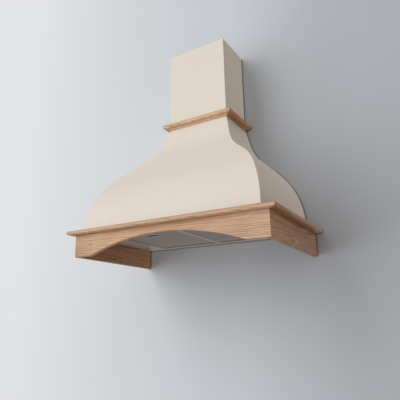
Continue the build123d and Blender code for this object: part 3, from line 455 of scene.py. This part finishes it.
def cream_paint(name, dark, light):
    """Sprayed satin paint: faint orange peel and soft clouding, with a painted highlight on thin edges
    and painted shade in joints.
    """
    material, tree, shader = blank_finish(name)
    place = object_place(tree)
    edge_highlight_strength, edge_highlight_colour, crevice_shade = 0.55, (0.90, 0.85, 0.77, 1), (0.62, 0.55, 0.48)
    colour = shade_ramp(tree, cloudy(tree, place, 3.2, detail=3.0), (0.3, dark), (0.7, light))
    peel = cloudy(tree, place, 420.0, detail=2.0, roughness=0.45)
    nap = cloudy(tree, place, 38.0, detail=4.0, roughness=0.55)
    colour = mottled(tree, colour, nap, (0.35, (0.990, 0.989, 0.988)), (0.65, grey(1.006)))
    edge, rounded = edge_mask(tree, width=0.0018)
    # Lighter along thin edges: a painted highlight.
    colour = blended(tree, figure(tree, "MULTIPLY", edge, edge_highlight_strength), colour, edge_highlight_colour)
    # Darker in joints and inside corners: painted shade.
    colour = painted_crevice_shade(tree, colour, reach=0.005, darkest=crevice_shade)
    sheen = level_between(tree, nap, 0.3, 0.7, 0.60, 0.52)
    coat(tree, shader, colour, figure(tree, "MULTIPLY_ADD", edge, -0.10, sheen))
    relief = figure(tree, "MULTIPLY_ADD", peel, 0.5, nap)
    emboss(tree, shader, relief, strength=0.10, distance=0.0006, normal=rounded)
    shader.inputs["Specular IOR Level"].default_value = 0.3
    return material


panel_edge = 0.0006
canopy_paint = cream_paint("canopy_paint", (0.762, 0.712, 0.650), (0.780, 0.731, 0.668))
for side in ("front", "left", "right"):
    eased(f"canopy_{side}_panel", panel_edge, canopy_paint)

# ---------------------------------------------------------------------------------------------
# Collar moulding: three short bull-nosed oak lengths, mitred round the foot of the flue and glued
# on. They cover the joint between the canopy and the flue.
# ---------------------------------------------------------------------------------------------
collar_edge, collar_ring = 0.0005, 0.0034
front_collar_oak = oak_board("oak_collar_front", "x", pith=(0.15, -0.16), lean=(0.07, 0.06), ring=collar_ring,
                             contrast=1.4, tint=(1.02, 1.07, 1.06), shift=0.35, crevice_shade=light_crevice_shade)
# The right collar is darker and warmer than the front one: painted shade for the side in shadow.
right_collar_oak = oak_board("oak_collar_right", "y", pith=(0.14, 0.10), lean=(0.06, 0.05), ring=collar_ring,
                             contrast=1.5, tint=(0.83, 0.71, 0.59), shift=2.4)
left_collar_oak = oak_board("oak_collar_left", "y", pith=(0.14, -0.10), lean=(0.06, 0.05), ring=collar_ring,
                            contrast=1.3, tint=(0.92, 0.87, 0.81), shift=3.1)
collar_nose = eased("collar_front", collar_edge, front_collar_oak)
eased("collar_right", collar_edge, right_collar_oak)
eased("collar_left", collar_edge, left_collar_oak)

# ---------------------------------------------------------------------------------------------
# Flue and its sliding extension: flat painted panels on two stiles, sprayed as the canopy is.
# The extension's three panels slide up inside the flue's.
# ---------------------------------------------------------------------------------------------
extension_edge = 0.0005
flue_paint = cream_paint("flue_paint", (0.764, 0.728, 0.658), (0.782, 0.746, 0.675))
for side in ("front", "left", "right"):
    eased(f"flue_{side}_panel", panel_edge, flue_paint)
    eased(f"extension_{side}_panel", extension_edge, flue_paint)

# ---------------------------------------------------------------------------------------------
# Liner tray and filter divider: folded steel sheet, powder coated warm grey, held up by screws.
# The hanging plates and the motor's bracket are zinc-plated steel.
# ---------------------------------------------------------------------------------------------


def satin_metal(name, colour, metallic, roughness, grain=None, spread=0.06, seam_shade=(0.6, 0.58, 0.56)):
    """Coated or bare sheet metal; grain draws its brush marks out along one axis. Its edges get a painted
    highlight, and its seams are darkened toward the last colour as painted shade.
    """
    edge_highlight_strength = 0.4
    material, tree, shader = blank_finish(name)
    place = object_place(tree)
    stretch = {None: (1, 1, 1), "x": (0.02, 1, 1), "y": (1, 0.02, 1), "z": (1, 1, 0.02)}[grain]
    drawn = vector_figure(tree, "MULTIPLY", place, stretch)["Vector"]
    marks = cloudy(tree, drawn, 600.0, detail=3.0, roughness=0.6)
    cloud = cloudy(tree, place, 6.0, detail=3.0)
    low = [part * (1 - spread) for part in colour]
    high = [min(1.0, part * (1 + spread)) for part in colour]
    tone = blended(tree, 0.5, shade_ramp(tree, marks, (0.3, low), (0.7, high)),
                   shade_ramp(tree, cloud, (0.3, low), (0.7, high)))
    edge, rounded = edge_mask(tree, width=0.0008)
    highlight_colour = [min(1.0, part * 1.35 + 0.04) for part in colour]
    # Lighter along edges: a painted highlight.
    tone = blended(tree, figure(tree, "MULTIPLY", edge, edge_highlight_strength), tone, (*highlight_colour, 1))
    # Darker in seams and inside corners: painted shade.
    tone = painted_crevice_shade(tree, tone, reach=0.014, darkest=seam_shade)
    shader.inputs["Metallic"].default_value = metallic
    coat(tree, shader, tone, level_between(tree, marks, 0.25, 0.75, roughness - 0.06, roughness + 0.08))
    emboss(tree, shader, marks, strength=0.12, distance=0.0003, normal=rounded)
    return material


fold_edge, fitting_edge = 0.0003, 0.0004
# Dark colour for the painted shade in the seams of the coated metal.
dark_seam_shade = (0.22, 0.19, 0.17)
lacquer = satin_metal("grey_lacquer", (0.47, 0.41, 0.385), metallic=0.0, roughness=0.42, seam_shade=dark_seam_shade)
eased("liner_tray", fold_edge, lacquer, segments=1)
eased("filter_divider", fitting_edge, lacquer)
zinc = satin_metal("zinc_plate", (0.62, 0.63, 0.61), metallic=1.0, roughness=0.38, spread=0.10)
dress(zinc, "tray_screws")
for name in ("hanging_plates", "motor_bracket"):
    eased(name, fitting_edge, zinc)

# ---------------------------------------------------------------------------------------------
# Grease filters: an aluminium frame round two crossed layers of expanded mesh, and a housing let
# into its front edge, in which a black plastic finger latch slides.
# ---------------------------------------------------------------------------------------------


def moulded_plastic(name, colour, roughness, grain=0.25):
    """Injection-moulded plastic with a fine spark-eroded grain and a painted highlight on its edges."""
    material, tree, shader = blank_finish(name)
    place = object_place(tree)
    edge_highlight_strength = 0.3
    pits = cloudy(tree, place, 1500.0, detail=2.0)
    cloud = cloudy(tree, place, 24.0, detail=3.0)
    tone = shade_ramp(tree, cloud, (0.3, [part * 0.88 for part in colour]),
                      (0.7, [min(1.0, part * 1.14) for part in colour]))
    edge, rounded = edge_mask(tree, width=0.0007)
    highlight_colour = [min(1.0, part * 1.6 + 0.02) for part in colour]
    # Lighter along edges: a painted highlight.
    tone = blended(tree, figure(tree, "MULTIPLY", edge, edge_highlight_strength), tone, (*highlight_colour, 1))
    coat(tree, shader, tone, level_between(tree, cloud, 0.3, 0.7, roughness - 0.05, roughness + 0.06))
    emboss(tree, shader, pits, strength=grain, distance=0.0002, normal=rounded)
    return material


filter_frame_edge = 0.0005
black_plastic = moulded_plastic("black_plastic", (0.030, 0.030, 0.031), roughness=0.5)
filter_metal = satin_metal("filter_aluminium", (0.38, 0.36, 0.35), metallic=0.6, roughness=0.42, grain="x",
                           seam_shade=dark_seam_shade)
strand_metal = satin_metal("filter_mesh", (0.56, 0.53, 0.51), metallic=0.7, roughness=0.45)
filter_face = -0.4692
window_x, window_y = (0.020, 0.287), (-0.374, -0.044)
housing_x, housing_y = (0.1185, 0.1885), (-0.374, -0.316)
pocket_x, pocket_y, pocket_skin = (0.1278, 0.1792), (-0.3432, -0.3248), 0.0002
tuck = 0.002
diamond_long, diamond_short = 0.0115, 0.0058
strand_width, lower_layer, upper_layer = 0.0010, 0.0016, 0.0030
diamonds_across = 84
cut_within = 0.000001


def filter_layer(shape, side, height, turned):
    """One sheet of expanded metal: a lattice of diamonds cut to the window and let under the frame."""
    long_way, short_way = (diamond_short, diamond_long) if turned else (diamond_long, diamond_short)
    layer = bmesh.new()
    bmesh.ops.create_grid(layer, x_segments=diamonds_across, y_segments=diamonds_across, size=0.5)
    bmesh.ops.rotate(layer, verts=layer.verts, matrix=Matrix.Rotation(math.radians(45), 3, "Z"))
    cell = math.sqrt(2) / diamonds_across
    bmesh.ops.scale(layer, verts=layer.verts, vec=(long_way / cell, short_way / cell, 1))
    middle_x, middle_y = side * (window_x[0] + window_x[1]) / 2, (window_y[0] + window_y[1]) / 2
    bmesh.ops.translate(layer, verts=layer.verts, vec=(middle_x, middle_y, height))
    half_x = (window_x[1] - window_x[0]) / 2 + tuck
    half_y = (window_y[1] - window_y[0]) / 2 + tuck
    for corner, outward in (((middle_x + half_x, 0, 0), (1, 0, 0)), ((middle_x - half_x, 0, 0), (-1, 0, 0)),
                            ((0, middle_y + half_y, 0), (0, 1, 0)), ((0, middle_y - half_y, 0), (0, -1, 0))):
        everything = layer.verts[:] + layer.edges[:] + layer.faces[:]
        bmesh.ops.bisect_plane(layer, geom=everything, dist=cut_within, plane_co=corner, plane_no=outward,
                               clear_outer=True)
    behind_housing = [face for face in layer.faces
                      if all(housing_x[0] < abs(vert.co.x) < housing_x[1] and vert.co.y < housing_y[1]
                             for vert in face.verts)]
    bmesh.ops.delete(layer, geom=behind_housing, context="FACES")
    bmesh.ops.wireframe(layer, faces=layer.faces, thickness=strand_width, use_replace=True, use_boundary=True,
                        use_even_offset=True)
    mesh = bpy.data.meshes.new("layer")
    layer.to_mesh(mesh)
    layer.free()
    shape.from_mesh(mesh)
    bpy.data.meshes.remove(mesh)


def in_pocket(place):
    """Whether a place on a latch housing is inside the finger pocket."""
    across = pocket_x[0] < abs(place.x) < pocket_x[1]
    return across and pocket_y[0] < place.y < pocket_y[1] and place.z > filter_face + pocket_skin


for side, name in ((-1, "left"), (1, "right")):
    eased(f"{name}_filter_frame", filter_frame_edge, filter_metal)
    eased(f"{name}_filter_latch", fitting_edge, black_plastic)
    housing = eased(f"{name}_latch_housing", fitting_edge, filter_metal).data
    # The faces inside the finger pocket take the black plastic: painted shade that keeps the pocket dark.
    housing.materials.append(black_plastic)
    for face in housing.polygons:
        if in_pocket(face.center):
            face.material_index = 1
    shape = bmesh.new()
    filter_layer(shape, side, filter_face + lower_layer, False)
    filter_layer(shape, side, filter_face + upper_layer, True)
    mesh = bpy.data.meshes.new(name + "_expanded_mesh")
    shape.to_mesh(mesh)
    shape.free()
    mesh.materials.append(strand_metal)
    strands = bpy.data.objects.new(name + "_expanded_mesh", mesh)
    bpy.context.scene.collection.objects.link(strands)
    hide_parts(name + "_filter_mesh")
    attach(strands, name + "_filter")

# ---------------------------------------------------------------------------------------------
# Small plastic pieces: wiring box, cable gland, fan drum, flaps and push buttons, all injection
# moulded. The box and the gland stay still, and the others turn or slide.
# ---------------------------------------------------------------------------------------------
box_edge, gland_edge, button_edge = 0.0015, 0.0005, 0.0007
eased("wiring_box", box_edge, black_plastic, segments=3)
eased("cable_gland", gland_edge, black_plastic)
fan_plastic = moulded_plastic("fan_plastic", (0.10, 0.10, 0.11), roughness=0.45)
flap_plastic = moulded_plastic("flap_plastic", (0.28, 0.28, 0.29), roughness=0.48)
button_plastic = moulded_plastic("button_plastic", (0.14, 0.14, 0.15), roughness=0.3, grain=0.08)
dress(fan_plastic, "impeller")
dress(flap_plastic, "front_flap", "rear_flap")
for number in range(1, 6):
    eased(f"push_button_{number}", button_edge, button_plastic, segments=3)

# ---------------------------------------------------------------------------------------------
# Plenum, blower housing, inlet rings and spigot: galvanised sheet with a faint spangle, folded or
# rolled. The shafts are bright steel, and the motor's case is dark.
# ---------------------------------------------------------------------------------------------


def galvanised_sheet(name):
    """Hot-dipped zinc: crystals of slightly different grey and gloss."""
    material, tree, shader = blank_finish(name)
    place = object_place(tree)
    crystals = shader_node(tree, "TexVoronoi", {"Vector": place, "Scale": 95.0, "Randomness": 1.0})
    facet = channels(tree, crystals.outputs["Color"])[0]
    tone = shade_ramp(tree, facet, (0.0, (0.50, 0.52, 0.53)), (1.0, (0.66, 0.68, 0.69)))
    dull = cloudy(tree, place, 9.0, detail=4.0)
    tone = mottled(tree, tone, dull, (0.3, (0.86, 0.87, 0.88)), (0.7, grey(1.04)))
    gloss = level_between(tree, dull, 0.3, 0.7, 0.38, 0.28)
    shader.inputs["Metallic"].default_value = 0.9
    coat(tree, shader, tone, figure(tree, "MULTIPLY_ADD", facet, 0.14, gloss))
    emboss(tree, shader, facet, strength=0.05, distance=0.0004)
    return material


dress(galvanised_sheet("galvanised_sheet"), "plenum", "blower_housing", "inlet_rings", "outlet_spigot")
bright_steel = satin_metal("steel_shaft", (0.62, 0.62, 0.62), metallic=1.0, roughness=0.25, grain="x")
dress(bright_steel, "fan_shaft", "flap_pin")
dress(satin_metal("motor_case", (0.17, 0.17, 0.18), metallic=0.0, roughness=0.4), "motor")

# ---------------------------------------------------------------------------------------------
# Lamps and push-button panel: satin steel bezels with frosted lenses, let into the tray's front
# strip, and a flat steel plate that the five buttons stand in.
# ---------------------------------------------------------------------------------------------


def frosted_glass(name):
    """Acid-etched lamp glass."""
    material, tree, shader = blank_finish(name)
    frost = cloudy(tree, object_place(tree), 900.0, detail=3.0)
    tone = shade_ramp(tree, frost, (0.3, (0.80, 0.81, 0.80)), (0.7, (0.92, 0.93, 0.92)))
    coat(tree, shader, tone, level_between(tree, frost, 0.3, 0.7, 0.35, 0.5))
    shader.inputs["Transmission Weight"].default_value = 0.45
    emboss(tree, shader, frost, strength=0.2, distance=0.0002)
    return material


bezel_steel = satin_metal("lamp_bezel", (0.60, 0.59, 0.58), metallic=1.0, roughness=0.3, grain="x")
panel_steel = satin_metal("panel_steel", (0.42, 0.41, 0.40), metallic=1.0, roughness=0.34, grain="x")
dress(bezel_steel, "lamp_housings")
dress(panel_steel, "control_panel")
dress(frosted_glass("lamp_lens"), "lamp_lenses")

# ---------------------------------------------------------------------------------------------
# Studio: a matt pale wall that the cover hangs on, seen from its front only, a pale floor well
# below it, and soft light from the left.
# ---------------------------------------------------------------------------------------------


def stage_sheet(name, centre, half_size, turn, colour):
    """A large plain sheet that isn't part of the object, with its node tree and its shader."""
    shape = bmesh.new()
    bmesh.ops.create_grid(shape, x_segments=1, y_segments=1, size=half_size)
    bmesh.ops.rotate(shape, verts=shape.verts, matrix=turn)
    bmesh.ops.translate(shape, verts=shape.verts, vec=centre)
    mesh = bpy.data.meshes.new(name)
    shape.to_mesh(mesh)
    shape.free()
    sheet = bpy.data.objects.new(name, mesh)
    bpy.context.scene.collection.objects.link(sheet)
    material, tree, shader = blank_finish(name)
    shader.inputs["Base Color"].default_value = (*colour, 1)
    shader.inputs["Roughness"].default_value = 0.9
    shader.inputs["Specular IOR Level"].default_value = 0.1
    mesh.materials.append(material)
    return sheet, tree, shader


def wall_finish(tree, shader, colour):
    """Wall paint with painted shade, darker toward the right, a painted contact shadow where something
    touches it, and clear from behind.
    """
    bright_end, dark_end = -1.4, 0.8
    touching = 0.0115
    from_left = split(tree, object_place(tree))[0]
    # Darker toward the right: a painted falloff of light.
    painted_falloff = mottled(tree, (*colour, 1), level_between(tree, from_left, bright_end, dark_end),
                    (0.0, grey(1.0)), (0.55, (0.785, 0.80, 0.83)), (0.68, (0.757, 0.77, 0.802)),
                    (0.87, (0.588, 0.60, 0.630)), (1.0, (0.558, 0.57, 0.598)))
    # A dark line where something touches the wall: a painted contact shadow.
    nearness = shader_node(tree, "AmbientOcclusion", {"Distance": touching}, samples=8).outputs["AO"]
    painted_contact_shadow = level_between(tree, nearness, 0.45, 0.95)
    darkest = (0.05, 0.045, 0.04, 1)
    tree.links.new(blended(tree, painted_contact_shadow, darkest, painted_falloff), shader.inputs["Base Color"])
    clear = shader_node(tree, "BsdfTransparent")
    back = shader_node(tree, "NewGeometry").outputs["Backfacing"]
    mix = shader_node(tree, "MixShader", {0: back, 1: shader.outputs[0], 2: clear.outputs[0]})
    tree.links.new(mix.outputs[0], tree.nodes["Material Output"].inputs["Surface"])


wall_gap, wall_half_size, wall_colour = 0.005, 9.0, (0.735, 0.80, 0.845)
floor_drop, floor_half_size, floor_colour = 2.2, 12.0, (0.80, 0.845, 0.89)
upright = Matrix.Rotation(math.radians(90), 4, "X")
wall, wall_tree, wall_shader = stage_sheet("wall", (0, wall_gap, 0), wall_half_size, upright, wall_colour)
wall_finish(wall_tree, wall_shader, wall_colour)
wall.visible_diffuse = False
wall.visible_glossy = False
wall.visible_transmission = False
wall.visible_shadow = False
floor = stage_sheet("floor", (0, 0, -floor_drop), floor_half_size, Matrix.Identity(4), floor_colour)[0]
floor.visible_diffuse = False
floor.visible_shadow = False

world = bpy.data.worlds.new("studio")
bpy.context.scene.world = world
world.use_nodes = True
sky = world.node_tree
soft = sky.nodes["Background"]
soft.inputs["Color"].default_value = (1.0, 0.902, 0.828, 1)
soft.inputs["Strength"].default_value = 0.41
backdrop = shader_node(sky, "Background", {"Color": (0.90, 0.90, 0.91, 1), "Strength": 0.8})
ray = shader_node(sky, "LightPath").outputs
mirrored = figure(sky, "MAXIMUM", ray["Is Glossy Ray"], ray["Is Transmission Ray"])
seen = figure(sky, "MAXIMUM", ray["Is Camera Ray"], mirrored)
mix = shader_node(sky, "MixShader", {0: seen, 1: soft.outputs[0], 2: backdrop.outputs[0]})
sky.links.new(mix.outputs[0], sky.nodes["World Output"].inputs["Surface"])


def far_lamp(name, azimuth, height, spread, strength, colour, lit, state):
    """A distant softbox, given by its bearing to the left of the front and its height, all in degrees.
    What is in its list is the only thing that it lights, or is left out."""
    lamp = bpy.data.lights.new(name, "SUN")
    lamp.energy = strength
    lamp.angle = math.radians(spread)
    lamp.color = colour
    holder = bpy.data.objects.new(name, lamp)
    bearing, rise = math.radians(azimuth), math.radians(height)
    aim = Vector((math.sin(bearing) * math.cos(rise), math.cos(bearing) * math.cos(rise), -math.sin(rise)))
    holder.rotation_euler = aim.to_track_quat("-Z", "Y").to_euler()
    bpy.context.scene.collection.objects.link(holder)
    receivers = bpy.data.collections.new(name + "_receivers")
    for piece in lit:
        receivers.objects.link(piece)
    for entry in receivers.collection_objects:
        entry.light_linking.link_state = state
    holder.light_linking.receiver_collection = receivers


far_lamp("key", azimuth=50, height=12, spread=40, strength=2.53, colour=(1.0, 1.0, 1.0),
         lit=[wall], state="EXCLUDE")
far_lamp("nose_bounce", azimuth=35, height=-42, spread=60, strength=1.5, colour=(1.0, 0.96, 0.93),
         lit=[base_nose, collar_nose], state="INCLUDE")
far_lamp("wall_wash", azimuth=66, height=20, spread=95, strength=3.75, colour=(1.0, 0.953, 0.94),
         lit=[wall], state="INCLUDE")
far_lamp("wall_fill", azimuth=0, height=35, spread=160, strength=0.36, colour=(1.0, 0.953, 0.94),
         lit=[wall], state="INCLUDE")

camera_data = bpy.data.cameras.new("camera")
camera_data.lens = 39.87
camera_data.sensor_width = 36.0
camera_data.shift_x = 0.10
camera_data.clip_start = 0.05
camera_data.clip_end = 60.0
level, camera_rise, camera_swing = 90, 15.23, 34.14
camera = bpy.data.objects.new("camera", camera_data)
camera.location = (0.8955, -1.8284, -0.8117)
camera.rotation_euler = (math.radians(level + camera_rise), 0, math.radians(camera_swing))
bpy.context.scene.collection.objects.link(camera)
bpy.context.scene.camera = camera
bpy.context.scene.view_settings.view_transform = "Standard"
